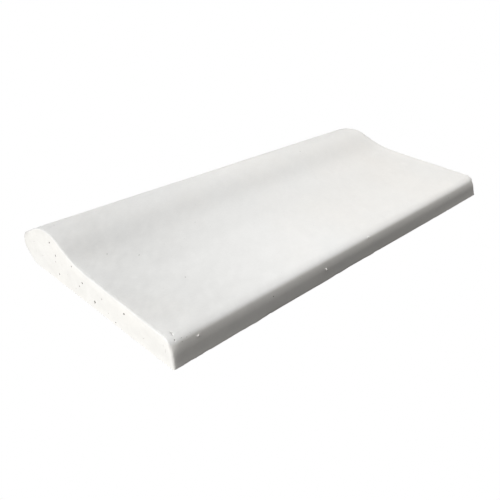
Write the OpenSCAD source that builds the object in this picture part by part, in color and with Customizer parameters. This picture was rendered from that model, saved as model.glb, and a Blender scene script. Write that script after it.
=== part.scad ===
// Pool coping stone: one solid cast concrete slab with a raised bullnose that
// overhangs the pool. Millimetres and degrees.
// Frame: the origin is the middle of the plan at bed level. +X runs along the nose,
// +Y points to the pool, +Z is up. The flat bed lies on the ground.
// The section below is in [y, z], with y measured from the back edge of the bed.

/* [Overall size] */
// length of the stone along the nose, at the bed
length = 500;          // 450 to 600
// from the back edge of the bed to the tip of the nose
width = 250;           // 220 to 320
// height of the slab's top, carried on straight to the back edge of the bed
back_height = 23.7;    // 21 to 30
// height of the crown of the nose
nose_height = 45;      // 40 to 54

/* [Slab and back edge] */
// rise of the slab's top towards the pool, in percent
slab_rise = 4;         // 1 to 5
// lean of the back face away from upright, which lets the stone out of its mould
back_draft = 12;       // 6 to 16
// radius of the tightest part of the arris along the back of the top
back_arris_r = 7.5;    // 6 to 10
// radius of the slow curve that leads from the back face up into that arris
back_ease_r = 50;      // 30 to 60
// radius of the curve that leads from that arris on to the top
top_ease_r = 14;       // 10 to 18
// lean of the surface, away from upright, where the tight part starts
ease_to = 22;          // 18 to 30
// lean of the surface, away from upright, where the tight part ends
ease_from = 56;        // 45 to 65

/* [Nose] */
// from the tip of the nose back to the centre of the crown
crown_setback = 52;    // 44 to 60
// radius of the crown of the nose; less towards the pool if the tip is too near for it
crown_r = 55;          // 46 to 64
// from the centre of the crown back to where the slab starts to rise
hollow_run = 74;       // 66 to 92
// radius of the tip of the nose
tip_r = 11;            // 9 to 13
// height of the centre of the tip above the bed
tip_height = 18.5;     // 16 to 21
// overhang of the tip beyond the pool edge of the bed
undercut = 21;         // 17 to 25

/* [Ends] */
// lean of both end faces inwards, from the bed up
end_draft = 4;         // 2 to 7
// radius of the arris between an end face and the top
end_top_r = 1.2;       // 0.8 to 3
// radius of the arris between an end face and the back face or the tip of the nose
end_side_r = 4;        // 2 to 5
// radius of that arris at the bed
end_foot_r = 1.8;      // 1 to 3

/* [Drawing] */
// steps round each of the tighter curves of the section
tight_steps = 20;      // 8 to 24
// steps along the hollow
long_steps = 18;       // 8 to 24
// steps round the arris of each end
end_steps = 5;         // 3 to 8
// the part to draw

/* [Hidden] */

// the slab's rise as an angle
slab_angle = atan(slab_rise / 100);
slab_up = [-sin(slab_angle), cos(slab_angle)];

// directions and small vector helpers
function unit(a) = [cos(a), sin(a)];
function heading(v) = atan2(v.y, v.x);

// The arris along the back is three arcs that run smoothly into each other. They start
// as far up the back face as lets them end on the slab's top.
back_turns = [180 - back_draft, 180 - ease_to, 180 - ease_from, 90 + slab_angle];
back_radii = [back_ease_r, back_arris_r, top_ease_r];
arris_span = [
    for (i = [0 : 2])
        back_radii[i] * (unit(back_turns[i + 1]) - unit(back_turns[i]))
];
up_back = [sin(back_draft), cos(back_draft)];
arris_rise = arris_span[0] + arris_span[1] + arris_span[2];
arris_start = up_back * (([0, back_height] - arris_rise) * slab_up) / (up_back * slab_up);
ease_c = arris_start - back_ease_r * unit(back_turns[0]);
arris_c = ease_c + (back_ease_r - back_arris_r) * unit(back_turns[1]);
top_c = arris_c + (back_arris_r - top_ease_r) * unit(back_turns[2]);

// the hollow is an arc that leaves the slab at hollow_start and meets the crown
// smoothly, so its radius follows from those two
hollow_y = width - crown_setback - hollow_run;
hollow_start = [hollow_y, back_height + hollow_y * tan(slab_angle)];
crown_c = [width - crown_setback, nose_height - crown_r];
gap = hollow_start - crown_c;
hollow_r = (gap * gap - crown_r * crown_r) / (2 * (crown_r - slab_up * gap));
hollow_c = hollow_start + hollow_r * slab_up;
hollow_end = heading(crown_c - hollow_c);

// The pool side of the crown passes to the tip along their common tangent. An arc of
// widest_front_r would just touch the tip from outside. The pool side stays a little
// tighter than that, so that the tangent is there however near the tip the crown is.
tip_c = [width - tip_r, tip_height];
tip_from_top = [crown_setback - tip_r, nose_height - tip_height];
tangent_share = 0.98;
widest_front_r = (tip_from_top * tip_from_top - tip_r * tip_r)
    / (2 * (tip_from_top.y - tip_r));
front_r = min(crown_r, tangent_share * widest_front_r);
front_c = [width - crown_setback, nose_height - front_r];
front_to_tip = tip_c - front_c;
nose_face = heading(front_to_tip) + acos((front_r - tip_r) / norm(front_to_tip));

// the undercut runs from the tip straight down to the pool edge of the bed
bed_edge = [width - undercut, 0];
bed_to_tip = tip_c - bed_edge;
undercut_dir = heading(bed_to_tip) - asin(tip_r / norm(bed_to_tip));

// The rounded section is drawn on past the bed and past both ends by this much, and the
// mould's flat end walls and the level it is filled to cut it off there.
overfill = 4;
// the end arris also runs this much past the end face, so that the wall cuts it cleanly
trim = 0.02;
foot_front = bed_edge - overfill * [1 / tan(undercut_dir), 1];
foot_back = -overfill * [tan(back_draft), 1];

// radius of the end arris where the section's inward direction is n
function end_arris_r(n) = end_top_r + (end_side_r - end_top_r) * pow(n.x / norm(n), 2);

// An arc as a list of [point, inward direction, radius of the end arris there]. side is
// 1 where the stone is inside the arc, and -1 where it is outside.
function arc(c, r, from, to, steps, side) = [
    for (i = [0 : steps])
        let(u = unit(from + (to - from) * i / steps))
        [c + r * u, -side * u, end_arris_r(u)]
];

// a list without its first item, which the arc before it already holds
function rest(list) = [for (i = [1 : len(list) - 1]) list[i]];
half_steps = ceil(tight_steps / 2);
ease_steps = ceil(tight_steps / 4);

// the whole outline: the foot, up the back, over the slab and the nose, and round the
// tip. The foot's two corners slide level, so the bed's rim stays sharp at the ends.
// The crown and the tip each start anew at their highest or furthest point, so that
// the overall sizes come out true.
outline = concat(
    [[foot_front, [-1 / sin(undercut_dir), 0], end_foot_r]],
    [[foot_back, [1 / cos(back_draft), 0], end_foot_r]],
    arc(ease_c, back_ease_r, back_turns[0], back_turns[1], ease_steps, 1),
    rest(arc(arris_c, back_arris_r, back_turns[1], back_turns[2], half_steps, 1)),
    rest(arc(top_c, top_ease_r, back_turns[2], back_turns[3], half_steps, 1)),
    arc(hollow_c, hollow_r, slab_angle - 90, hollow_end, long_steps, -1),
    rest(arc(crown_c, crown_r, hollow_end + 180, 90, half_steps, 1)),
    rest(arc(front_c, front_r, 90, nose_face, half_steps, 1)),
    arc(tip_c, tip_r, nose_face, 0, half_steps, 1),
    rest(arc(tip_c, tip_r, 0, undercut_dir - 90, half_steps, 1))
);
count = len(outline);

// One ring of the outline near an end. side is the sign of X. The ring lies depth in
// from that end and inset within the section, both as shares of the end arris's radius,
// and then trim further out.
function ring(side, depth, inset, trim) = [
    for (p = outline)
        let(q = p[0] + inset * p[2] * p[1])
        let(x = length / 2 - depth * p[2] + trim - tan(end_draft) * q.y)
        [side * x, q.x - width / 2, q.y]
];

// the rings of the end arris, from the whole section out to the end face and past it
function end_rings(side) = concat(
    [
        for (i = [0 : end_steps])
            let(a = 90 * i / end_steps)
            ring(side, 1 - sin(a), 1 - cos(a), trim)
    ],
    [ring(side, 0, 1, overfill)]
);

left_rings = end_rings(-1);
rings = concat(
    [for (i = [end_steps + 1 : -1 : 0]) left_rings[i]],
    end_rings(1)
);
last = len(rings) - 1;

// the space between the mould's leaning end walls, above the level of the bed
module mould_space() {
    top = 2 * nose_height;
    half = length / 2;
    lean = top * tan(end_draft);
    rotate([90, 0, 0])
        linear_extrude(2 * width, center = true)
            polygon([[-half, 0], [half, 0], [half - lean, top], [lean - half, top]]);
}

// the section swept along the stone and rounded in towards both ends
module moulded_blank() {
    points = [for (r = rings) for (p = r) p];
    left_face = concat([0], [for (j = [count - 1 : -1 : 1]) j]);
    right_face = [for (j = [0 : count - 1]) last * count + j];
    // two triangles between each pair of neighbours on two neighbouring rings
    near = [
        for (i = [0 : last - 1])
            for (j = [0 : count - 1])
                let(k = (j + 1) % count)
                [i * count + j, i * count + k, (i + 1) * count + k]
    ];
    far = [
        for (i = [0 : last - 1])
            for (j = [0 : count - 1])
                let(k = (j + 1) % count)
                [i * count + j, (i + 1) * count + k, (i + 1) * count + j]
    ];
    polyhedron(points, concat([left_face], [right_face], near, far), convexity = 4);
}

module coping_stone() {
    color([0.88, 0.87, 0.84])
        intersection() {
            moulded_blank();
            mould_space();
        }
}

coping_stone();
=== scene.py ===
"""The looks of a pool coping stone of white cast concrete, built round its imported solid.

The stone is one casting. Its moulded faces are smooth, with a few air holes, and its
bed is struck off by hand, so it is rough and its rim is ragged. Lengths are worked out
in millimetres and handed to Blender in metres.
"""

import math

import bpy
import numpy as np
from mathutils import Matrix, Vector
from mathutils.geometry import delaunay_2d_cdt


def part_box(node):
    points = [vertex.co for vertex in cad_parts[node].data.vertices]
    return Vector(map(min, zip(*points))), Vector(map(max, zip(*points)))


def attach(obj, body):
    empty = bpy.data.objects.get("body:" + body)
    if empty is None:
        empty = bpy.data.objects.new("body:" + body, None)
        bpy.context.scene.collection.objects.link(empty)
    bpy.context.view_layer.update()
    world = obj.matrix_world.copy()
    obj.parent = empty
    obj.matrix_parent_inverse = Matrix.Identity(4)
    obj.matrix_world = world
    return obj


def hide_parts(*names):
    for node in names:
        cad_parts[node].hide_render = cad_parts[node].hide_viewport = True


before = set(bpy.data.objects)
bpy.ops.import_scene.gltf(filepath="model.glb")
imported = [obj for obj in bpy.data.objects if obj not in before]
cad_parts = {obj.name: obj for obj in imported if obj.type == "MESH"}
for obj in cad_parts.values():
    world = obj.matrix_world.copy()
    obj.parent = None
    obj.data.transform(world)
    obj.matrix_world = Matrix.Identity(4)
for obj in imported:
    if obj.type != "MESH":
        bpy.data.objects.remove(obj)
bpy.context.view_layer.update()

MM = 0.001
low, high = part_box("coping_stone")

# ---------------------------------------------------------------- sizes of the stone
# The same sizes, in millimetres and degrees, as the solid is made with. Only the arrises
# down the sides of the ends turn tighter here, as end_ease leads into them.
LENGTH = (high.x - low.x) / MM
WIDTH = (high.y - low.y) / MM
NOSE_HEIGHT = (high.z - low.z) / MM
BACK_HEIGHT = 23.7
SLAB_RISE = 4.0
BACK_DRAFT = math.radians(12.0)
BACK_ARRIS_R = 7.5
BACK_EASE_R = 50.0
TOP_EASE_R = 14.0
EASE_TO = math.radians(22.0)
EASE_FROM = math.radians(56.0)
CROWN_SETBACK = 52.0
CROWN_R = 55.0
HOLLOW_RUN = 74.0
TIP_R = 11.0
TIP_HEIGHT = 18.5
UNDERCUT = 21.0
END_DRAFT = math.radians(4.0)
END_TOP_R = 1.2
END_SIDE_R = 2.8
END_FOOT_R = 1.8

# ---------------------------------------------------------------- camera
# The camera looks over the back edge at the stone's left end, from about 65 cm away.
# FOCAL is the focal length, and AIM_RIGHT and AIM_UP are how far AIM lies to the right of
# the middle of the view and above it, all as shares of the view's width.
AZIMUTH = math.radians(-45.223)
ELEVATION = math.radians(29.025)
ROLL = math.radians(0.987)
DISTANCE = 651.4
AIM = Vector((0, 0, 20))
FOCAL = 1.11948
AIM_RIGHT = 0.05442
AIM_UP = 0.08956


def make_camera():
    back = Vector((
        math.sin(AZIMUTH) * math.cos(ELEVATION),
        -math.cos(AZIMUTH) * math.cos(ELEVATION),
        math.sin(ELEVATION),
    ))
    level = (-back).cross(Vector((0, 0, 1))).normalized()
    upright = level.cross(-back)
    right = math.cos(ROLL) * level + math.sin(ROLL) * upright
    up = -math.sin(ROLL) * level + math.cos(ROLL) * upright
    place = AIM + back * DISTANCE
    place -= right * (AIM_RIGHT * DISTANCE / FOCAL) + up * (AIM_UP * DISTANCE / FOCAL)
    data = bpy.data.cameras.new("camera")
    data.sensor_width = 36
    data.lens = FOCAL * data.sensor_width
    data.clip_start = 0.01
    data.clip_end = 100
    camera = bpy.data.objects.new("camera", data)
    turn = Matrix((right, up, back)).transposed().to_4x4()
    camera.matrix_world = Matrix.Translation(place * MM) @ turn
    bpy.context.collection.objects.link(camera)
    bpy.context.scene.camera = camera


make_camera()


# ---------------------------------------------------------------- the section
# The section is in (y, z), with y measured from the back edge of the bed. It runs along
# the bed from the pool to the back, up the back, over the top and round the nose.
def unit(a):
    return np.array([math.cos(a), math.sin(a)])


def heading(v):
    return math.atan2(v[1], v[0])


def line_run(start, end, start_in, end_in, spacing, gather=0.0):
    """Points from start up to just before end, with the direction that the end arris
    moves them in. gather draws them together towards both ends."""
    count = max(2, math.ceil(np.linalg.norm(end - start) / spacing))
    t = np.arange(count) / count
    t = (1 - gather) * t + gather * (1 - np.cos(math.pi * t)) / 2
    t = t[:, None]
    return start + t * (end - start), start_in + t * (end_in - start_in)


def arc_run(centre, radius, start, end, side, spacing):
    count = max(4, math.ceil(abs(end - start) * radius / spacing))
    a = start + (end - start) * np.arange(count) / count
    u = np.stack([np.cos(a), np.sin(a)], 1)
    return centre + radius * u, -side * u


def back_arris(slab_angle):
    """Where the three arcs of the back arris start on the back face, the directions that
    they turn between, and their centres."""
    slab_up = unit(slab_angle + math.pi / 2)
    turns = [math.pi - a for a in (BACK_DRAFT, EASE_TO, EASE_FROM)]
    turns.append(slab_angle + math.pi / 2)
    radii = (BACK_EASE_R, BACK_ARRIS_R, TOP_EASE_R)
    span = sum(r * (unit(b) - unit(a)) for r, a, b in zip(radii, turns, turns[1:]))
    up_back = np.array([math.sin(BACK_DRAFT), math.cos(BACK_DRAFT)])
    arris_start = up_back * (
        (np.array([0, BACK_HEIGHT]) - span) @ slab_up / (up_back @ slab_up)
    )
    ease_c = arris_start - BACK_EASE_R * unit(turns[0])
    arris_c = ease_c + (BACK_EASE_R - BACK_ARRIS_R) * unit(turns[1])
    top_c = arris_c + (BACK_ARRIS_R - TOP_EASE_R) * unit(turns[2])
    return arris_start, turns, (ease_c, arris_c, top_c)


def hollow_arc(slab_angle, crown_c):
    """The start, centre and radius of the hollow, and the direction it ends in."""
    slab_up = unit(slab_angle + math.pi / 2)
    start_y = WIDTH - CROWN_SETBACK - HOLLOW_RUN
    start = np.array([start_y, BACK_HEIGHT + start_y * math.tan(slab_angle)])
    gap = start - crown_c
    radius = (gap @ gap - CROWN_R**2) / (2 * (CROWN_R - slab_up @ gap))
    centre = start + radius * slab_up
    return start, centre, radius, heading(crown_c - centre)


def make_section():
    """The outline's points, their inward directions and the names of their runs."""
    slab_angle = math.atan(SLAB_RISE / 100)
    slab_up = unit(slab_angle + math.pi / 2)
    arris_start, turns, (ease_c, arris_c, top_c) = back_arris(slab_angle)
    crown_c = np.array([WIDTH - CROWN_SETBACK, NOSE_HEIGHT - CROWN_R])
    hollow_start, hollow_c, hollow_r, hollow_end = hollow_arc(slab_angle, crown_c)
    tip_c = np.array([WIDTH - TIP_R, TIP_HEIGHT])
    reach = tip_c - crown_c
    nose_face = heading(reach) + math.acos((CROWN_R - TIP_R) / np.linalg.norm(reach))
    bed_front = np.array([WIDTH - UNDERCUT, 0.0])
    bed_back = np.array([0.0, 0.0])
    rise = tip_c - bed_front
    undercut_dir = heading(rise) - math.asin(TIP_R / np.linalg.norm(rise))
    tip_end = undercut_dir - math.pi / 2

    front_in = np.array([-1 / math.sin(undercut_dir), 0])
    heel_in = np.array([1 / math.cos(BACK_DRAFT), 0])
    slab_start = top_c + TOP_EASE_R * slab_up
    slope_start = crown_c + CROWN_R * unit(nose_face)
    slope_end = tip_c + TIP_R * unit(nose_face)
    tip_last = tip_c + TIP_R * unit(tip_end)
    runs = {
        "bed": line_run(bed_front, bed_back, front_in, heel_in, 3.5, gather=0.8),
        "back": line_run(bed_back, arris_start, heel_in, unit(-BACK_DRAFT), 1.3, gather=0.3),
        "back_ease": arc_run(ease_c, BACK_EASE_R, turns[0], turns[1], 1, 1.3),
        "back_arris": arc_run(arris_c, BACK_ARRIS_R, turns[1], turns[2], 1, 0.9),
        "top_ease": arc_run(top_c, TOP_EASE_R, turns[2], turns[3], 1, 1.3),
        "slab": line_run(slab_start, hollow_start, -slab_up, -slab_up, 1.9),
        "hollow": arc_run(
            hollow_c, hollow_r, slab_angle - math.pi / 2, hollow_end, -1, 1.7
        ),
        "crown": arc_run(crown_c, CROWN_R, hollow_end + math.pi, nose_face, 1, 1.6),
        "slope": line_run(slope_start, slope_end, -unit(nose_face), -unit(nose_face), 1.7),
        "tip": arc_run(tip_c, TIP_R, nose_face, tip_end, 1, 1.1),
        "undercut": line_run(
            tip_last, bed_front, -unit(tip_end), front_in, 1.5, gather=0.3
        ),
    }
    points = np.vstack([p for p, _ in runs.values()])
    inward = np.vstack([n for _, n in runs.values()])
    names = np.concatenate([[name] * len(p) for name, (p, _) in runs.items()])
    return points, inward, names


def end_arris_radii(points, inward, names):
    """The radius of the end arris at each point of the outline."""
    level = inward[:, 0] / np.linalg.norm(inward, axis=1)
    radii = END_TOP_R + (END_SIDE_R - END_TOP_R) * level**2
    for name in ("back", "undercut"):
        own = names == name
        share = np.clip(points[own, 1] / points[own, 1].max(), 0, 1)
        top = radii[own][np.argmax(points[own, 1])]
        radii[own] = END_FOOT_R + (top - END_FOOT_R) * share
    radii[names == "bed"] = END_FOOT_R
    return radii


# ---------------------------------------------------------------- uneven surfaces
# Large odd numbers that scatter neighbouring whole numbers far apart: one for each
# direction, one for the seed, and one that stirs what comes out. It is kept to 32 bits.
SCATTER = np.array([73856093, 19349663, 83492791], np.uint64)
SCATTER_SEED = 2654435761
STIR = np.uint64(0x45D9F3B)
LOW_BITS = np.uint64(0xFFFFFFFF)
HALF_BITS = np.uint64(16)


def corner_value(cells, seed):
    """A steady random number from 0 to 1 for each whole-numbered cell corner."""
    scattered = cells.astype(np.int64).astype(np.uint64) * SCATTER
    mixed = np.bitwise_xor.reduce(scattered, axis=1)
    mixed = (mixed ^ np.uint64(seed * SCATTER_SEED % 2**32)) & LOW_BITS
    for _ in range(2):
        mixed = ((mixed >> HALF_BITS) ^ mixed) * STIR & LOW_BITS
    mixed = (mixed >> HALF_BITS) ^ mixed
    return mixed.astype(float) / float(LOW_BITS)


def lumps(places, size, seed):
    """Soft random unevenness from -1 to 1 whose lumps are about size across."""
    q = places / size + 1000.0
    cell = np.floor(q)
    f = q - cell
    f = f * f * f * (f * (f * 6 - 15) + 10)
    total = np.zeros(len(places))
    for corner in range(8):
        step = np.array([corner & 1, corner >> 1 & 1, corner >> 2 & 1])
        share = np.prod(np.where(step, f, 1 - f), axis=1)
        total += share * corner_value(cell + step, seed)
    return 2 * total - 1


def smooth_step(x, start, end):
    t = np.clip((x - start) / (end - start), 0, 1)
    return t * t * (3 - 2 * t)


# ---------------------------------------------------------------- the skin
# The skin is a grid: one row of points round the section at each station along the
# stone. Its first and last rows lie on the end faces, round which the arris turns.
ROW_SPACING = 1.8
ARRIS_ROWS = 6
FLAT_HALF = LENGTH / 2 - END_TOP_R


def make_grid(points, inward, radii):
    """Grid points in millimetres, and each row's place along the skin."""
    rows, places = [], []
    drop = math.tan(END_DRAFT)

    def row(turn, share):
        q = points + (radii * (1 - math.cos(turn)))[:, None] * inward
        x = share * (LENGTH / 2 - radii * (1 - math.sin(turn)) - drop * q[:, 1])
        return np.stack([x, q[:, 0] - WIDTH / 2, q[:, 1]], 1)

    turns = np.linspace(math.pi / 2, 0, ARRIS_ROWS + 1)
    for a in turns:
        rows.append(row(a, -1))
        places.append(-FLAT_HALF - END_TOP_R * a)
    cells = math.ceil(2 * FLAT_HALF / ROW_SPACING)
    for i in range(1, cells):
        share = 2 * i / cells - 1
        rows.append(row(0, share))
        places.append(share * FLAT_HALF)
    for a in turns[::-1]:
        rows.append(row(a, 1))
        places.append(FLAT_HALF + END_TOP_R * a)
    return np.array(rows), np.array(places)


points, inward, run_names = make_section()
arris_radii = end_arris_radii(points, inward, run_names)
grid, along = make_grid(points, inward, arris_radii)
row_count, ring_count = grid.shape[:2]
steps = np.linalg.norm(np.roll(points, -1, axis=0) - points, axis=1)
around = np.concatenate([[0], np.cumsum(steps)])


def grid_point(u, v):
    """The smooth skin at a fractional row u and column v, with its outward normal."""
    i = min(int(u), row_count - 2)
    j = int(v) % ring_count
    k = (j + 1) % ring_count
    s, t = u - i, v - math.floor(v)
    a, b, c, d = grid[i, j], grid[i + 1, j], grid[i + 1, k], grid[i, k]
    place = (1 - s) * (1 - t) * a + s * (1 - t) * b + s * t * c + (1 - s) * t * d
    du = (1 - t) * (b - a) + t * (c - d)
    dv = (1 - s) * (d - a) + s * (c - b)
    normal = np.cross(du, dv)
    return place, normal / np.linalg.norm(normal)


# ---------------------------------------------------------------- air holes and beads
# Each is (place, long radius, short radius, turn in degrees, depth); a bead stands out,
# so its depth is below zero. A place is (x, y from the back) on the top, (x, height) on
# the back and (y from the back, height) on an end.
LEFT_END_HOLES = [
    ((191.6, 35.9), 1.05, 0.90, 30, 1.3),
    ((181.2, 26.0), 0.98, 0.82, 100, 1.2),
    ((181.8, 19.2), 0.58, 0.48, 0, 0.8),
    ((225.2, 24.5), 0.52, 0.45, 0, 0.6),
    ((151.6, 27.2), 0.80, 0.68, 60, 0.9),
    ((176.2, 8.0), 0.88, 0.76, 0, 0.9),
    ((133.6, 17.6), 0.98, 0.78, 45, 1.1),
    ((139.0, 11.8), 0.80, 0.64, 20, 0.9),
    ((113.4, 7.0), 1.90, 0.95, 112, 1.6),
    ((101.4, 16.0), 0.62, 0.52, 0, 0.9),
    ((67.1, 18.2), 1.05, 0.85, 140, 1.4),
    ((80.4, 2.6), 0.62, 0.50, 0, 0.7),
    ((208.6, 15.1), 0.35, 0.32, 0, 0.5),
    ((91.5, 6.4), 0.42, 0.35, 0, 0.5),
    ((122.0, 5.0), 0.36, 0.30, 0, 0.4),
    ((40.0, 8.5), 0.40, 0.32, 0, 0.5),
    ((10.7, 12.6), 2.00, 0.22, 90, 0.16),
    ((13.8, 16.0), 1.50, 0.20, 90, 0.12),
    ((218.8, 33.0), 0.34, 0.30, 0, 0.40),
    ((214.5, 22.5), 0.30, 0.28, 0, 0.30),
    ((203.6, 28.6), 0.32, 0.26, 0, 0.30),
    ((197.2, 20.4), 0.30, 0.26, 0, 0.35),
    ((222.0, 14.8), 0.40, 0.32, 0, 0.40),
    ((186.4, 31.2), 0.30, 0.26, 0, 0.30),
    ((170.3, 21.0), 0.32, 0.28, 0, 0.35),
    ((160.4, 14.6), 0.34, 0.28, 0, 0.35),
    ((146.0, 6.4), 0.34, 0.30, 0, 0.40),
]
RIGHT_END_HOLES = [
    ((60.5, 12.0), 0.60, 0.50, 0, 0.8),
    ((148.0, 9.5), 0.85, 0.70, 60, 1.1),
    ((171.0, 24.0), 0.50, 0.45, 0, 0.7),
    ((205.5, 12.5), 0.65, 0.55, 20, 0.9),
    ((218.0, 30.0), 0.40, 0.36, 0, 0.5),
]
TOP_HOLES = [
    ((-233.6, 205.7), 0.60, 0.50, 0, 0.8),
    ((-215.2, 143.2), 0.58, 0.48, 0, 0.8),
    ((-192.6, 124.2), 0.72, 0.55, 20, 1.0),
    ((-183.6, 66.8), 0.60, 0.46, 90, 0.8),
    ((110.3, 186.9), 0.66, 0.50, 10, 0.9),
    ((-242.2, 7.2), 0.85, 0.55, 80, 0.35),
    ((-236.4, 6.5), 0.50, 0.40, 0, 0.20),
    ((-236.8, 4.6), 0.46, 0.36, 0, 0.20),
    ((-240.9, 13.4), 2.60, 0.26, 81, 0.36),
    ((-232.0, 5.5), 0.42, 0.34, 0, 0.25),
    ((-227.6, 6.8), 0.36, 0.30, 0, 0.20),
    ((-111.0, 140.0), 0.42, 0.34, 0, 0.5),
    ((53.1, 214.7), 0.46, 0.36, 0, 0.5),
    ((-31.3, 211.0), 0.44, 0.36, 0, 0.5),
]
BACK_HOLES = [
    ((-135.6, 14.2), 0.62, 0.50, 0, 0.8),
    ((-98.8, 16.9), 0.45, 0.38, 0, 0.5),
    ((179.9, 14.9), 0.46, 0.38, 0, 0.4),
    ((-221.7, 16.5), 1.35, 1.00, 10, -0.95),
    ((-61.9, 12.2), 0.70, 1.35, 0, -1.60),
    ((10.8, 19.9), 0.65, 1.15, 0, -1.20),
]
# The rings of points that shape a hole: (share of its radius, how many points).
HOLE_RINGS = ((0.42, 6), (0.76, 10), (0.98, 13), (1.15, 13))
# A mark has to be this deep, in millimetres, to get a hole's full painted shade.
DARK_DEPTH = 0.6


def hole_depth(share, bead):
    """How deep a hole, or how high a bead, is at a share of its radius."""
    if bead:
        return 1 - smooth_step(share, 0.0, 1.15)
    return math.sqrt(max(0.0, 1 - (share / 1.02) ** 2)) ** 0.75 if share < 1 else 0.0


def hole_points(hole, rng):
    """A hole's points, as offsets on the face in millimetres, with depths and masks of the
    shade painted into the hole. A shallow mark gets paler painted shade than a hole."""
    _, long_r, short_r, turn, depth = hole
    turn = math.radians(turn)
    phase = rng.uniform(0, 2 * math.pi, 2)
    dark = min(1.0, max(0.0, depth) / DARK_DEPTH)
    spots = [(0.0, 0.0, depth, dark)]

    def spot(p, q, deep, inside):
        x = p * math.cos(turn) - q * math.sin(turn)
        y = p * math.sin(turn) + q * math.cos(turn)
        spots.append((x, y, deep, inside))

    for share, count in HOLE_RINGS:
        deep = depth * hole_depth(share, depth < 0)
        inside = dark * (1.0 if share < 0.9 else 0.7 if share < 1 else 0.0)
        for k in range(count):
            a = 2 * math.pi * (k + 0.5 * (count % 2)) / count
            ragged = 1 + 0.10 * math.sin(2 * a + phase[0])
            ragged += 0.07 * math.sin(3 * a + phase[1])
            reach = share * ragged
            spot(reach * long_r * math.cos(a), reach * short_r * math.sin(a), deep, inside)
    # a last, level ring keeps the skin round the hole in place
    for k in range(10):
        a = 2 * math.pi * (k + 0.3) / 10
        apart = 0.35 + 0.35 * short_r
        p = (1.2 * long_r + apart) * math.cos(a)
        q = (1.2 * short_r + apart) * math.sin(a)
        spot(p, q, 0.0, 0.0)
    return np.array(spots)


# ---------------------------------------------------------------- the stone's surface
# An end is filled with points this far apart, in rows set off by half a space. They keep
# FILL_ROOM from the end's outline, and the points of its holes keep HOLE_ROOM from it.
FILL_SPACING = 1.75
FILL_ROW = 0.87 * FILL_SPACING
FILL_ROOM = 0.8
HOLE_ROOM = 0.2


def room_inside(outline, spots):
    """How far inside the closed outline each spot is, below zero if it is outside."""
    after = np.roll(outline, -1, axis=0)
    edge = after - outline
    to = spots[:, None] - outline[None]
    t = np.clip((to * edge).sum(2) / (edge * edge).sum(1), 0, 1)
    near = np.linalg.norm(to - t[:, :, None] * edge, axis=2).min(1)
    up = (outline[:, 1] > spots[:, 1:]) != (after[:, 1] > spots[:, 1:])
    slope = edge[:, 0] / np.where(edge[:, 1] == 0, 1e-9, edge[:, 1])
    left = spots[:, :1] < outline[:, 0] + (spots[:, 1:] - outline[:, 1]) * slope
    inside = (up & left).sum(1) % 2 == 1
    return np.where(inside, near, -near)


def end_fill(outline):
    """Evenly spread points inside an end's outline."""
    ys, zs = np.meshgrid(
        np.arange(0, WIDTH, FILL_SPACING), np.arange(0.9, NOSE_HEIGHT, FILL_ROW)
    )
    ys = ys + FILL_SPACING / 2 * (np.arange(len(zs)) % 2)[:, None]
    fill = np.stack([ys.ravel(), zs.ravel()], 1)
    return fill[room_inside(outline, fill) > FILL_ROOM]


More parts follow.
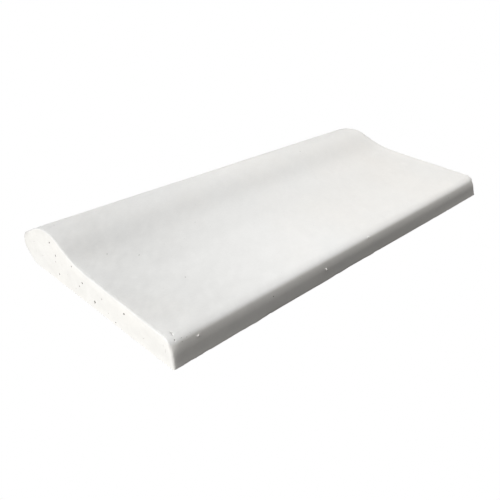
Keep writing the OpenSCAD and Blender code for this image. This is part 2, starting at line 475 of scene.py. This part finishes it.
class Surface:
    """Gathers the stone's points and faces, and where the faces lie on a flat pattern."""

    def __init__(self):
        across = np.roll(grid, -1, axis=1) - np.roll(grid, 1, axis=1)
        normals = np.cross(np.gradient(grid, axis=0), across).reshape(-1, 3)
        normals /= np.linalg.norm(normals, axis=1)[:, None]
        self.points = [grid.reshape(-1, 3)]
        self.normals = [normals]
        self.depths = [np.zeros(len(normals))]
        self.masks = [np.zeros(len(normals))]
        self.count = len(normals)
        self.faces = []
        self.pattern = []
        self.taken = np.zeros((row_count - 1, ring_count), bool)

    def add_points(self, points, normals, depths, masks):
        ids = list(range(self.count, self.count + len(points)))
        self.points.append(np.array(points, float))
        self.normals.append(np.array(normals, float))
        self.depths.append(np.array(depths, float))
        self.masks.append(np.array(masks, float))
        self.count += len(points)
        return ids

    def add_patch(self, flat, ids, rim_count):
        """Fills the outline of the first rim_count points, using all the others."""
        verts = [Vector(p) for p in flat]
        rim = list(range(rim_count))
        twice_area = sum(verts[k - 1].cross(verts[k]) for k in rim)
        if twice_area < 0:
            rim.reverse()
        _, _, tris, source, _, _ = delaunay_2d_cdt(verts, [], [rim], 1, 1e-6)
        for tri in tris:
            own = [source[k][0] for k in tri]
            a, b, c = (verts[k] for k in own)
            if (b - a).cross(c - a) < 0:
                own.reverse()
            self.faces.append([ids[k] for k in own])
            self.pattern.extend(flat[k] for k in own)

    def add_hole(self, spot, hole, rng):
        """Puts a hole in the skin at spot, a place on the flat pattern, if there's room."""
        spots = hole_points(hole, rng)
        flat = spots[:, :2] + spot
        low_u, high_u = at_row([flat[:, 0].min() - 0.3, flat[:, 0].max() + 0.3])
        low_v, high_v = at_column([flat[:, 1].min() - 0.3, flat[:, 1].max() + 0.3])
        i0, i1 = math.floor(low_u), math.ceil(high_u)
        j0, j1 = math.floor(low_v), math.ceil(high_v)
        if i0 < 1 or i1 > row_count - 2 or j0 < 1 or j1 > ring_count - 1:
            return False
        if self.taken[i0:i1, j0:j1].any():
            return False
        self.taken[i0:i1, j0:j1] = True
        rim = [(a, j0) for a in range(i0, i1)] + [(i1, b) for b in range(j0, j1)]
        rim += [(a, j1) for a in range(i1, i0, -1)] + [(i0, b) for b in range(j1, j0, -1)]
        places, normals = zip(*(grid_point(u, v) for u, v in zip(
            at_row(flat[:, 0]), at_column(flat[:, 1])
        )))
        ids = [a * ring_count + b for a, b in rim]
        ids += self.add_points(places, normals, spots[:, 2], spots[:, 3])
        around_rim = [(along[a], around[b]) for a, b in rim]
        self.add_patch(around_rim + [tuple(p) for p in flat], ids, len(rim))
        return True

    def add_skin(self):
        """Adds the grid's cells, apart from those that the holes stand in."""
        for i, j in np.argwhere(~self.taken):
            k = (j + 1) % ring_count
            a, b = i * ring_count, (i + 1) * ring_count
            self.faces.append([a + j, b + j, b + k, a + k])
            x0, x1, y0, y1 = along[i], along[i + 1], around[j], around[j + 1]
            self.pattern.extend([(x0, y0), (x1, y0), (x1, y1), (x0, y1)])

    def close_end(self, side, holes, lift, rng):
        """Fills the flat end at side -1 or +1, drawn lift up the flat pattern."""
        row = 0 if side < 0 else row_count - 1
        outline = grid[row][:, 1:] + [WIDTH / 2, 0]
        spots, depths, masks, used = [], [], [], []
        for hole in holes:
            own = hole_points(hole, rng)
            place = own[:, :2] + hole[0]
            if room_inside(outline, place).min() < HOLE_ROOM:
                raise ValueError(f"the hole at {hole[0]} is too near the edge of the end")
            spots.append(place)
            depths.append(own[:, 2])
            masks.append(own[:, 3])
            used.append((hole[0], np.abs(own[:, :2]).max() + 0.5))
        fill = end_fill(outline)
        for place, reach in used:
            fill = fill[np.linalg.norm(fill - place, axis=1) > reach]
        spots = np.vstack(spots + [fill])
        depths = np.concatenate(depths + [np.zeros(len(fill))])
        masks = np.concatenate(masks + [np.zeros(len(fill))])
        lean = math.tan(END_DRAFT)
        normal = np.array([side, 0, lean]) / math.hypot(1, lean)
        places = np.stack([
            side * (LENGTH / 2 - lean * spots[:, 1]), spots[:, 0] - WIDTH / 2, spots[:, 1]
        ], 1)
        ids = [row * ring_count + j for j in range(ring_count)]
        ids += self.add_points(places, [normal] * len(places), depths, masks)
        flat = np.vstack([outline, spots])
        flat = np.stack([side * (flat[:, 0] - WIDTH / 2), flat[:, 1] + lift], 1)
        self.add_patch([tuple(p) for p in flat], ids, ring_count)


def at_row(x):
    return np.interp(x, along, np.arange(row_count))


def at_column(y):
    return np.interp(y, around, np.arange(ring_count + 1))


def columns_of(*names):
    return np.flatnonzero(np.isin(run_names, names))


def pattern_place(x, column):
    """Where the point at x along the stone, in that column, is on the flat pattern."""
    z = np.interp(column, np.arange(ring_count), points[:, 1])
    radius = np.interp(column, np.arange(ring_count), arris_radii)
    reach = LENGTH / 2 - radius - math.tan(END_DRAFT) * z
    past = math.copysign(max(0.0, abs(x) - reach), x)
    return np.array([
        (x - past) / reach * FLAT_HALF + past,
        np.interp(column, np.arange(ring_count + 1), around),
    ])


TOP_RUNS = ("back_arris", "top_ease", "slab", "hollow", "crown", "slope")


def on_top(x, y):
    own = columns_of(*TOP_RUNS)
    return pattern_place(x, np.interp(y, points[own, 0], own))


def on_back(x, z):
    own = columns_of("back", "back_ease", "back_arris")
    return pattern_place(x, np.interp(z, points[own, 1], own))


def scatter_holes(surface, count, names, sizes, rng):
    """Adds small holes at random over the named runs."""
    own = columns_of(*names)
    for _ in range(count):
        spot = (rng.uniform(along[0] + 8, along[-1] - 8), rng.uniform(
            around[own[0]] + 2, around[own[-1]] - 2
        ))
        r = rng.uniform(*sizes)
        hole = (None, r, r * rng.uniform(0.7, 1.0), rng.uniform(0, 180), 1.2 * r)
        surface.add_hole(spot, hole, rng)


# ---------------------------------------------------------------- wear and unevenness, and painted light and shade
# Swells of the skin: (size and height in millimetres, seed). SINK sets the whole skin in
# a little, so that the swells stay within the solid's box.
SWELLS = [(46, 0.10, 1), (17, 0.05, 2), (5, 0.018, 3)]
SINK = 0.13
# How far the stone draws in at its very ends, in millimetres, and over what length: the
# top in a short and in a long curve, and the back and the nose in one curve.
TOP_SHORT, TOP_SHORT_RUN = 0.33, 8
TOP_LONG, TOP_LONG_RUN = 0.4, 40
SIDE_DRAW, SIDE_DRAW_RUN = 0.6, 13
# How far the two back corners, and the back arris by the right one, are worn away.
CORNER_WEAR, CORNER_REACH = 1.2, 5
ARRIS_WEAR = 0.8

# The bed was struck off with a board, so its rim is ragged: (x, how far it is cut up).
BACK_RIM_CUTS = [
    (-250, 0.0), (-238, 0.0), (-233, 0.3), (-229, 0.0), (-221, 0.0), (-217, 0.45),
    (-212, 0.05), (-197, 0.1), (-189, 0.3), (-181, 0.4), (-173, 0.15), (-165, 0.0),
    (-159, 0.05), (-153, 0.4), (-141, 0.6), (-129, 0.75), (-93, 0.7), (-65, 0.5),
    (-53, 0.65), (-49, 1.05), (-45, 1.0), (-41, 0.65), (-33, 0.9), (-25, 1.1), (-5, 0.95),
    (11, 0.6), (16, 0.6), (19, 1.15), (23, 1.05), (28, 0.85), (47, 0.7), (67, 0.6),
    (87, 0.45), (107, 0.35), (127, 0.2), (147, 0.1), (160, 0.0), (250, 0.0),
]


def rim_cut(places):
    """How far the rim of the bed is worn up and in, in millimetres, next to each place."""
    x, y = places[:, 0], places[:, 1]
    flat = places * [1, 1, 0]
    rough = 0.02 + 0.10 * lumps(flat, 3.1, 11) + 0.12 * lumps(flat, 9.0, 12)
    nicks = np.maximum(0, lumps(flat, 5.5, 13) - 0.6) * 1.2
    cut = np.maximum(0, rough) + nicks
    cuts = np.array(BACK_RIM_CUTS)
    back = smooth_step(-y, WIDTH / 2 - 12, WIDTH / 2 - 6)
    front = smooth_step(y, WIDTH / 2 - UNDERCUT - 12, WIDTH / 2 - UNDERCUT - 6)
    return cut * (1 + 1.5 * front) + back * np.interp(x, cuts[:, 0], cuts[:, 1])


def top_height(from_back):
    """The height of the top at distances from the back edge."""
    own = columns_of(*TOP_RUNS, "tip")
    order = own[np.argsort(points[own, 0])]
    return np.interp(from_back, points[order, 0], points[order, 1])


def end_ease(places):
    """How the stone draws in towards its ends, where its arrises are a little worn."""
    x, y, z = places.T
    from_back = y + WIDTH / 2
    inside = np.maximum(0, LENGTH / 2 - math.tan(END_DRAFT) * z - np.abs(x))
    top = TOP_SHORT * np.maximum(0, 1 - inside / TOP_SHORT_RUN) ** 3
    top += TOP_LONG * np.maximum(0, 1 - inside / TOP_LONG_RUN) ** 2
    side = SIDE_DRAW * np.maximum(0, 1 - inside / SIDE_DRAW_RUN) ** 3
    side *= smooth_step(z, -2, 5)
    drop = top * np.clip(z / top_height(from_back), 0, 1)
    at_back = np.exp(-np.maximum(0, from_back - 5) / 8)
    at_nose = np.exp(-np.maximum(0, WIDTH - from_back - 3) / 8)
    worn = np.exp(-(((from_back - 1) / 4) ** 2)) * smooth_step(z, 14, 21)
    worn *= ARRIS_WEAR * smooth_step(x, 208, 252)
    for end in (-1, 1):
        corner = [end * (LENGTH / 2 - 1.5), 3 - WIDTH / 2, 21]
        apart = np.linalg.norm(places - corner, axis=1)
        worn += CORNER_WEAR * np.exp(-((apart / CORNER_REACH) ** 2))
    return np.stack([0 * x, side * (at_back - at_nose) + 0.6 * worn, -drop - 0.8 * worn], 1)


def wear(places, normals):
    """Moves the places in along the normals by the stone's unevenness and worn rims."""
    x, y, z = places.T
    wave = sum(height * lumps(places, size, seed) for size, height, seed in SWELLS) - SINK
    corner = smooth_step(np.abs(x), LENGTH / 2 - 9, LENGTH / 2 - 5)
    crumbs = np.maximum(0, lumps(places, 2.6, 4) - 0.45) * corner
    inside = np.minimum(LENGTH / 2 - np.abs(x), np.minimum(
        y + WIDTH / 2, WIDTH / 2 - UNDERCUT - y
    ))
    apart = np.hypot(z, np.maximum(0, inside))
    inset = (np.minimum(wave, 0) - 0.22 * crumbs) * smooth_step(apart, 0, 5)
    moved = places + normals * inset[:, None]
    moved += end_ease(places)

    # the rim of the bed is cut up from the ground and in from the nearest faces
    near = np.exp(-((apart / 1.7) ** 2)) * rim_cut(places)
    push_x = -np.sign(x) * np.exp(-np.maximum(0, LENGTH / 2 - np.abs(x)) / 1.5)
    push_y = np.exp(-np.maximum(0, y + WIDTH / 2) / 1.5)
    push_y -= np.exp(-np.maximum(0, WIDTH / 2 - UNDERCUT - y) / 1.5)
    push = np.stack([0.45 * push_x, 0.45 * push_y, np.full(len(x), 0.9)], 1)
    return moved + push * near[:, None]


# Soft patches on the top, painted light and shade with some of the cement's own tone among
# them: (x, y from the back, length, width, how much lighter as a share). The first is
# painted shade all along the hollow, the last two paint light and shade on the back arris,
# and the one at y 219 paints light on the far side of the crown.
PAINTED_LIGHT_AND_TONE_PATCHES = [
    (0, 166, 5000, 19, -0.11), (0, 132, 5000, 42, -0.016), (-262, 90, 60, 95, -0.085),
    (-85, 40, 80, 48, 0.058), (105, 85, 85, 42, -0.03), (-185, 140, 60, 26, -0.054),
    (-172, 105, 30, 9, -0.035), (-75, 92, 45, 14, 0.022), (-226, 131, 16, 12, 0.045),
    (-240, 14, 30, 12, 0.03), (0, 204, 70, 9, 0.035), (215, 164, 45, 12, 0.02),
    (-170, 219, 150, 11, 0.12), (240, 150, 13, 60, 0.06), (246, 60, 12, 50, 0.03),
    (-150, 5, 50, 4, 0.05), (225, 6, 30, 6, 0.05), (30, 70, 120, 70, 0.012),
    (-218, 96.3, 2.4, 2.4, 0.05), (217.4, 136, 4, 4, 0.03), (212.9, 90.3, 4.5, 4, 0.035),
    (-238, 66, 16, 34, -0.032), (-205, 191, 52, 8, -0.036), (-110, 15, 130, 10, 0.017),
    (-20, 4.6, 260, 1.5, 0.045), (0, 1.6, 240, 1.1, -0.13),
]


# The hollow gives way to the nose over this stretch, measured from the back edge.
NOSE_FROM, NOSE_TO = 168, 196


def patch_painted_light_and_tone(x, y, normals):
    """The soft patches on the top: painted light and shade, with some of the cement's own
    tone.
    """
    tone = np.zeros_like(x)
    for px, py, long, wide, lighter in PAINTED_LIGHT_AND_TONE_PATCHES:
        tone += lighter * np.exp(-(((x - px) / long) ** 2) - ((y - py) / wide) ** 2)
    return tone * smooth_step(normals[:, 2], 0.3, 0.8)


def back_painted_shading(x, z, normals):
    """Painted shade on the back face, darker in its middle and at its foot, and a band of
    painted light below the arris."""
    back = smooth_step(-normals[:, 1], 0.75, 0.98)
    middle = np.exp(-(((x - 35) / 150) ** 2))
    foot = smooth_step(-z, -14, -8) * smooth_step(x, -230, -120)
    brow = smooth_step(-normals[:, 1], 0.4, 0.7) * smooth_step(x, -235, -200)
    brow *= np.exp(-(((z - 19.0) / 2.6) ** 2))
    return 0.07 * brow - back * (0.02 + 0.13 * middle + 0.04 * foot)


def end_painted_light(y, z, under, normals):
    """Painted light on the ends: they are a little lighter, most of all along the slab's top
    and the bed.
    """
    end = smooth_step(np.abs(normals[:, 0]), 0.6, 0.9)
    slab = 1 - smooth_step(y, NOSE_FROM, NOSE_TO)
    along_top = slab * np.exp(-(((under - 4) / 3) ** 2))
    along_bed = np.exp(-((z / 2.5) ** 2))
    return end * (0.008 + 0.035 * along_top + 0.02 * along_bed)


def nose_rim_painted_shade(x, y, z, under):
    """Painted shade on the rim of the nose at the left end, darkest round its tip."""
    left = smooth_step(-x, LENGTH / 2 - 9, LENGTH / 2 - 4)
    crown_rim = smooth_step(y, NOSE_FROM, NOSE_TO) * np.exp(-((under / 2.6) ** 2))
    tip_gap = TIP_R - np.hypot(y - (WIDTH - TIP_R), z - TIP_HEIGHT)
    tip_rim = np.exp(-((tip_gap / 3.4) ** 2)) * smooth_step(y, WIDTH - 16, WIDTH - 8)
    return -left * (0.05 * crown_rim + 0.14 * tip_rim)


def tone_and_painted_light_at(places, normals):
    """How much lighter or darker than usual the cement looks, as a share: painted light and
    shade from the patches, the back, the ends and the nose rim, and the cement's own drifts.
    """
    x, y, z = places[:, 0], places[:, 1] + WIDTH / 2, places[:, 2]
    under = top_height(y) - z
    tone = patch_painted_light_and_tone(x, y, normals) + back_painted_shading(x, z, normals)
    tone += end_painted_light(y, z, under, normals) + nose_rim_painted_shade(x, y, z, under)
    # the drifts run a little aslant, the way the mix was poured
    aslant = places - 0.24 * (places[:, 0] + places[:, 1])[:, None] * [1, 1, 0]
    cloudy = 0.010 + 0.012 * smooth_step(-x, 80, 220)
    return tone + cloudy * (lumps(aslant, 4.2, 21) + lumps(aslant, 8.5, 22))


def warmth(places, normals):
    """How yellowish the surface is, from 0 to 1: more to the right, and on the sides, where
    the yellow against the cooler top is painted warm light.
    """
    side = 1 - smooth_step(normals[:, 2], 0.3, 0.8)
    side *= 1 - 0.25 * normals[:, 0] ** 2
    return np.maximum(0.48 * smooth_step(places[:, 0], -260, 320), side)


# ---------------------------------------------------------------- the stone
# On the flat pattern: the room between the skin and the ends, and round the outside.
PATTERN_GAP = 8
PATTERN_EDGE = 4


def cast_surface():
    """The stone's whole surface, and how many of its faces are skin."""
    rng = np.random.default_rng(7)
    surface = Surface()
    for hole in TOP_HOLES:
        surface.add_hole(on_top(*hole[0]), hole, rng)
    for hole in BACK_HOLES:
        surface.add_hole(on_back(*hole[0]), hole, rng)
    scatter_holes(surface, 22, ["slope", "tip"], (0.25, 0.6), rng)
    scatter_holes(surface, 14, ["undercut"], (0.25, 0.7), rng)
    scatter_holes(surface, 5, ["back"], (0.2, 0.3), rng)
    scatter_holes(surface, 12, ["slab", "hollow", "crown"], (0.2, 0.3), rng)
    surface.add_skin()
    skin_faces = len(surface.faces)
    lift = around[-1] + PATTERN_GAP
    surface.close_end(-1, LEFT_END_HOLES, lift, rng)
    surface.close_end(1, RIGHT_END_HOLES, lift + NOSE_HEIGHT + PATTERN_GAP, rng)
    return surface, skin_faces


def lay_pattern(mesh, surface):
    """Lays the flat pattern out in a square, as the mesh's UV map."""
    pattern = mesh.uv_layers.new(name="OFBake")
    flat = np.array(surface.pattern)
    side = flat[:, 1].max() + 2 * PATTERN_EDGE
    flat = (flat - [along[0] - (side - LENGTH) / 2, -PATTERN_EDGE]) / side
    pattern.data.foreach_set("uv", flat.ravel().astype(np.float32))


def faces_of_bed(surface, skin_faces):
    """1 for each face of the bed and 0 for the others. The bed has no holes, so all its
    faces have four corners."""
    bed = set(columns_of("bed"))
    is_bed = np.zeros(len(surface.faces), np.int32)
    for f, face in enumerate(surface.faces[:skin_faces]):
        if len(face) == 4 and face[0] % ring_count in bed:
            is_bed[f] = 1
    return is_bed


def make_stone():
    surface, skin_faces = cast_surface()
    places = np.vstack(surface.points)
    normals = np.vstack(surface.normals)
    depths = np.concatenate(surface.depths)
    # the tone holds painted light and shade as well as the cement's own drifts, the air hole
    # mask paints shade into the holes, and the warmth is partly painted warm light
    looks = {
        "air_hole_shade": np.concatenate(surface.masks),
        "tone": tone_and_painted_light_at(places, normals),
        "warmth": warmth(places, normals),
    }
    worn = wear(places, normals) - normals * depths[:, None]
    worn = np.clip(
        worn, [-LENGTH / 2, -WIDTH / 2, 0], [LENGTH / 2, WIDTH / 2, NOSE_HEIGHT]
    )
    centre = np.array([(low.x + high.x) / 2, (low.y + high.y) / 2, low.z])
    mesh = bpy.data.meshes.new("cast_stone_body")
    mesh.from_pydata((worn * MM + centre).tolist(), [], surface.faces)
    lay_pattern(mesh, surface)
    for name, values in looks.items():
        layer = mesh.attributes.new(name, "FLOAT", "POINT")
        layer.data.foreach_set("value", values.astype(np.float32))
    mesh.materials.append(moulded_face())
    mesh.materials.append(struck_bed())
    mesh.polygons.foreach_set("material_index", faces_of_bed(surface, skin_faces))
    mesh.polygons.foreach_set("use_smooth", np.ones(len(surface.faces), bool))
    mesh.update()
    mesh.set_sharp_from_angle(angle=math.radians(50))
    stone = bpy.data.objects.new("cast_stone_body", mesh)
    bpy.context.collection.objects.link(stone)
    return stone


# ---------------------------------------------------------------- shader groups
def new_group(name, inputs, outputs):
    """A shader node group with named inputs (name, type, value) and outputs."""
    group = bpy.data.node_groups.new(name, "ShaderNodeTree")
    for label, kind, value in inputs:
        socket = group.interface.new_socket(label, in_out="INPUT", socket_type=kind)
        socket.default_value = value
    for label, kind in outputs:
        group.interface.new_socket(label, in_out="OUTPUT", socket_type=kind)
    return group, Nodes(group)


class Nodes:
    """Short calls that add nodes to a tree and join them up."""

    def __init__(self, tree):
        self.tree = tree

    def add(self, kind, settings=None, **inputs):
        node = self.tree.nodes.new(kind)
        for name, value in (settings or {}).items():
            setattr(node, name, value)
        for name, value in inputs.items():
            self.feed(node, name.replace("_", " "), value)
        return node

    def feed(self, node, name, value):
        socket = node.inputs[int(name[2:])] if name.startswith("in") else node.inputs[name]
        if isinstance(value, bpy.types.NodeSocket):
            self.tree.links.new(value, socket)
        else:
            socket.default_value = value

    def math(self, operation, a, b=0.0, clamp=False):
        node = self.add("ShaderNodeMath", {"operation": operation, "use_clamp": clamp})
        self.feed(node, "in0", a)
        self.feed(node, "in1", b)
        return node.outputs[0]

    def noise(self, places, scale, detail=3.0, roughness=0.5, distortion=0.0):
        node = self.add(
            "ShaderNodeTexNoise", Vector=places, Scale=scale, Detail=detail,
            Roughness=roughness, Distortion=distortion,
        )
        return node.outputs["Fac"]

    def between(self, value, start, end, to_start=0.0, to_end=1.0):
        node = self.add("ShaderNodeMapRange", {"interpolation_type": "SMOOTHSTEP"})
        for name, v in (
            ("Value", value), ("From Min", start), ("From Max", end),
            ("To Min", to_start), ("To Max", to_end),
        ):
            self.feed(node, name, v)
        return node.outputs[0]

    def blend(self, share, a, b, mode="MIX"):
        node = self.add("ShaderNodeMix", {"data_type": "RGBA", "blend_type": mode})
        for k, v in ((0, share), (6, a), (7, b)):
            if isinstance(v, bpy.types.NodeSocket):
                self.tree.links.new(v, node.inputs[k])
            else:
                node.inputs[k].default_value = v
        return node.outputs[2]

    def group(self, tree, **inputs):
        node = self.add("ShaderNodeGroup", {"node_tree": tree})
        for name, value in inputs.items():
            self.feed(node, name.replace("_", " "), value)
        return node

    def millimetres(self):
        """Places on the stone, in millimetres."""
        places = self.add("ShaderNodeTexCoord").outputs["Object"]
        scaled = self.add("ShaderNodeVectorMath", {"operation": "SCALE"}, Vector=places)
        scaled.inputs["Scale"].default_value = 1000
        return scaled.outputs[0]

    def attribute(self, name):
        node = self.add("ShaderNodeAttribute", {"attribute_name": name})
        return node.outputs["Fac"]


def make_mottling():
    """Cloudy light and dark, warm and cool drifts that cement dries into."""
    group, n = new_group(
        "cement_mottling",
        [("Places", "NodeSocketVector", (0, 0, 0)), ("Size", "NodeSocketFloat", 60.0),
         ("Amount", "NodeSocketFloat", 0.05), ("Warmth", "NodeSocketFloat", 0.5),
         ("Warm", "NodeSocketColor", (1, 1, 1, 1)), ("Cool", "NodeSocketColor", (1, 1, 1, 1))],
        [("Tint", "NodeSocketColor"), ("Cloud", "NodeSocketFloat")],
    )
    given = n.add("NodeGroupInput").outputs
    scale = n.math("DIVIDE", 1.0, given["Size"])
    cloud = n.noise(given["Places"], scale, 4.0, 0.55, 0.4)
    drift = n.noise(given["Places"], n.math("MULTIPLY", scale, 0.6), 2.0, 0.5)
    warmer = n.math("MULTIPLY", n.math("SUBTRACT", drift, 0.5), 1.2)
    warm = n.math("ADD", given["Warmth"], warmer, clamp=True)
    tint = n.blend(warm, given["Cool"], given["Warm"])
    lift = n.math("MULTIPLY", n.math("SUBTRACT", cloud, 0.5), given["Amount"])
    level = n.math("ADD", 1.0, n.math("MULTIPLY", lift, 2.0))
    grey = n.add("ShaderNodeCombineColor", Red=level, Green=level, Blue=level)
    out = n.add("NodeGroupOutput")
    n.feed(out, "Tint", n.blend(1.0, tint, grey.outputs[0], "MULTIPLY"))
    n.feed(out, "Cloud", cloud)
    return group


def make_grain():
    """The fine sandy grain of cement, with pinholes and pale or dark specks of sand."""
    group, n = new_group(
        "cement_grain",
        [("Places", "NodeSocketVector", (0, 0, 0)), ("Size", "NodeSocketFloat", 0.6),
         ("Pinholes", "NodeSocketFloat", 0.5)],
        [("Height", "NodeSocketFloat"), ("Specks", "NodeSocketFloat"),
         ("Pinhole", "NodeSocketFloat")],
    )
    given = n.add("NodeGroupInput").outputs
    scale = n.math("DIVIDE", 1.0, given["Size"])
    sand = n.noise(given["Places"], scale, 3.0, 0.6)
    skin = n.noise(given["Places"], n.math("MULTIPLY", scale, 0.12), 3.0, 0.5)
    specks = n.noise(given["Places"], n.math("MULTIPLY", scale, 0.3), 3.0, 0.7)
    cells = n.add(
        "ShaderNodeTexVoronoi", {"feature": "F1"}, Vector=given["Places"], Scale=0.16
    )
    chance = n.add("ShaderNodeSeparateColor", Color=cells.outputs["Color"]).outputs[0]
    radius = n.math("MULTIPLY", n.math("SUBTRACT", chance, 0.8), 0.16)
    hole = n.between(n.math("SUBTRACT", cells.outputs["Distance"], radius), 0.0, 0.012, 1, 0)
    hole = n.math("MULTIPLY", hole, n.math("GREATER_THAN", chance, 0.82))
    hole = n.math("MULTIPLY", hole, given["Pinholes"])
    height = n.math("ADD", n.math("MULTIPLY", sand, 0.35), n.math("MULTIPLY", skin, 0.65))
    out = n.add("NodeGroupOutput")
    n.feed(out, "Height", n.math("SUBTRACT", height, n.math("MULTIPLY", hole, 1.5)))
    n.feed(out, "Specks", n.between(specks, 0.30, 0.70))
    n.feed(out, "Pinhole", hole)
    return group


def make_material(name):
    material = bpy.data.materials.new(name)
    material.use_nodes = True
    material.node_tree.nodes.clear()
    n = Nodes(material.node_tree)
    shader = n.add("ShaderNodeBsdfPrincipled")
    out = n.add("ShaderNodeOutputMaterial")
    n.feed(out, "Surface", shader.outputs[0])
    return material, n, shader


MOTTLING = make_mottling()
GRAIN = make_grain()
WARM_WHITE = (0.8195, 0.802, 0.772, 1)
COOL_WHITE = (0.798, 0.800, 0.793, 1)
# painted shade: the dark grey that stands for the shade inside air holes and pinholes
HOLE_SHADE_GREY = (0.13, 0.12, 0.105, 1)
BED_GREY = (0.72, 0.705, 0.67, 1)


def moulded_face():
    """White cement as it leaves a smooth mould: dense and matt, with a faint sheen."""
    material, n, shader = make_material("moulded_face")
    places = n.millimetres()
    # the warmth fed in is partly painted warm light on the sides against a cooler top
    mottling = n.group(
        MOTTLING, Places=places, Size=70.0, Amount=0.012, Warmth=n.attribute("warmth"),
        Warm=WARM_WHITE, Cool=COOL_WHITE,
    )
    grain = n.group(GRAIN, Places=places, Size=0.7, Pinholes=0.6)
    # the tone scales the colour: painted light and shade with the cement's own drifts
    tone = n.math("ADD", 1.0, n.attribute("tone"))
    specks = n.math("ADD", 0.987, n.math("MULTIPLY", grain.outputs["Specks"], 0.026))
    level = n.math("MULTIPLY", tone, specks)
    grey = n.add("ShaderNodeCombineColor", Red=level, Green=level, Blue=level)
    colour = n.blend(1.0, mottling.outputs["Tint"], grey.outputs[0], "MULTIPLY")
    # air holes and pinholes get painted shade, a dark grey in place of the shade inside them
    hole = n.math("MAXIMUM", n.attribute("air_hole_shade"), grain.outputs["Pinhole"])
    colour = n.blend(hole, colour, HOLE_SHADE_GREY)
    n.feed(shader, "Base Color", colour)
    dry = n.between(mottling.outputs["Cloud"], 0.3, 0.7, 0.66, 0.78)
    n.feed(shader, "Roughness", n.math("MAXIMUM", dry, n.math("MULTIPLY", hole, 0.95)))
    shader.inputs["Specular IOR Level"].default_value = 0.35
    bump = n.add("ShaderNodeBump", Strength=0.4, Distance=0.00012)
    n.feed(bump, "Height", grain.outputs["Height"])
    n.feed(shader, "Normal", bump.outputs[0])
    return material


def struck_bed():
    """The struck-off bed: sandy, open and a little greyer than the moulded faces."""
    material, n, shader = make_material("struck_bed")
    places = n.millimetres()
    mottling = n.group(
        MOTTLING, Places=places, Size=34.0, Amount=0.12, Warm=BED_GREY, Cool=COOL_WHITE
    )
    grain = n.group(GRAIN, Places=places, Size=1.3, Pinholes=0.9)
    specks = n.math("ADD", 0.93, n.math("MULTIPLY", grain.outputs["Specks"], 0.12))
    grey = n.add("ShaderNodeCombineColor", Red=specks, Green=specks, Blue=specks)
    colour = n.blend(1.0, mottling.outputs["Tint"], grey.outputs[0], "MULTIPLY")
    # painted shade: pinholes in the bed get the dark grey that stands for the shade inside
    # them
    colour = n.blend(grain.outputs["Pinhole"], colour, HOLE_SHADE_GREY)
    n.feed(shader, "Base Color", colour)
    n.feed(shader, "Roughness", n.between(mottling.outputs["Cloud"], 0.3, 0.7, 0.85, 0.95))
    shader.inputs["Specular IOR Level"].default_value = 0.25
    bump = n.add("ShaderNodeBump", Strength=0.6, Distance=0.0005)
    n.feed(bump, "Height", grain.outputs["Height"])
    n.feed(shader, "Normal", bump.outputs[0])
    return material


stone = make_stone()
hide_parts("coping_stone")
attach(stone, "root")


# ---------------------------------------------------------------- stage and light
WHITE = (1, 1, 1, 1)
FLOOR_GREY = 0.05
SKY_LIGHT = 0.015


def make_floor():
    """A plain floor that the camera sees as white and the stone as a dull surface."""
    size = 6.0
    mesh = bpy.data.meshes.new("floor")
    corners = [(-size, -size, 0), (size, -size, 0), (size, size, 0), (-size, size, 0)]
    mesh.from_pydata(corners, [], [(0, 1, 2, 3)])
    floor = bpy.data.objects.new("floor", mesh)
    floor.location.z = low.z - 0.0002
    bpy.context.collection.objects.link(floor)
    material = bpy.data.materials.new("white_floor")
    material.use_nodes = True
    material.node_tree.nodes.clear()
    n = Nodes(material.node_tree)
    seen = n.add("ShaderNodeEmission", Color=WHITE, Strength=1.0)
    dull = n.add("ShaderNodeBsdfDiffuse", Color=(FLOOR_GREY, FLOOR_GREY, FLOOR_GREY, 1))
    rays = n.add("ShaderNodeLightPath")
    either = n.add("ShaderNodeMixShader")
    n.feed(either, "in0", rays.outputs["Is Camera Ray"])
    n.feed(either, "in1", dull.outputs[0])
    n.feed(either, "in2", seen.outputs[0])
    out = n.add("ShaderNodeOutputMaterial")
    n.feed(out, "Surface", either.outputs[0])
    mesh.materials.append(material)


def make_world():
    """A white backdrop that gives the stone almost no light."""
    world = bpy.data.worlds.new("studio")
    bpy.context.scene.world = world
    world.use_nodes = True
    world.node_tree.nodes.clear()
    n = Nodes(world.node_tree)
    seen = n.add("ShaderNodeBackground", Color=WHITE, Strength=1.0)
    fill = n.add("ShaderNodeBackground", Color=WHITE, Strength=SKY_LIGHT)
    rays = n.add("ShaderNodeLightPath")
    either = n.add("ShaderNodeMixShader")
    n.feed(either, "in0", rays.outputs["Is Camera Ray"])
    n.feed(either, "in1", fill.outputs[0])
    n.feed(either, "in2", seen.outputs[0])
    out = n.add("ShaderNodeOutputWorld")
    n.feed(out, "Surface", either.outputs[0])


def soft_light(name, place, size, power, colour):
    """A square soft box that points at the middle of the stone."""
    data = bpy.data.lights.new(name, "AREA")
    data.size = size
    data.energy = power
    data.color = colour
    light = bpy.data.objects.new(name, data)
    light.location = place
    ahead = AIM * MM - Vector(place)
    light.rotation_euler = ahead.to_track_quat("-Z", "Y").to_euler()
    bpy.context.collection.objects.link(light)


# Each soft box: name, place and size in metres, power in watts, and colour.
LIGHTS = [
    ("high_left", (-1.734, 0, 1.354), 0.8, 28.4, (1, 1, 1)),
    ("low_left", (-2.2, 0, 0.25), 0.4, 24.0, (0.998, 1.0, 0.982)),
    ("over_back", (0, -0.6, 1.2), 0.4, 2.7, (1.0, 0.985, 0.96)),
    ("overhead", (0.2, -0.15, 0.6), 0.2, 1.3, (1.0, 0.99, 0.97)),
    ("high_right", (1.2, 0, 1.2), 0.5, 7.4, (1, 1, 1)),
    ("pool_side", (1.404, 1.673, 0.268), 0.5, 6.0, (1, 1, 1)),
]
make_floor()
make_world()
for light in LIGHTS:
    soft_light(*light)
bpy.context.scene.view_settings.view_transform = "Standard"
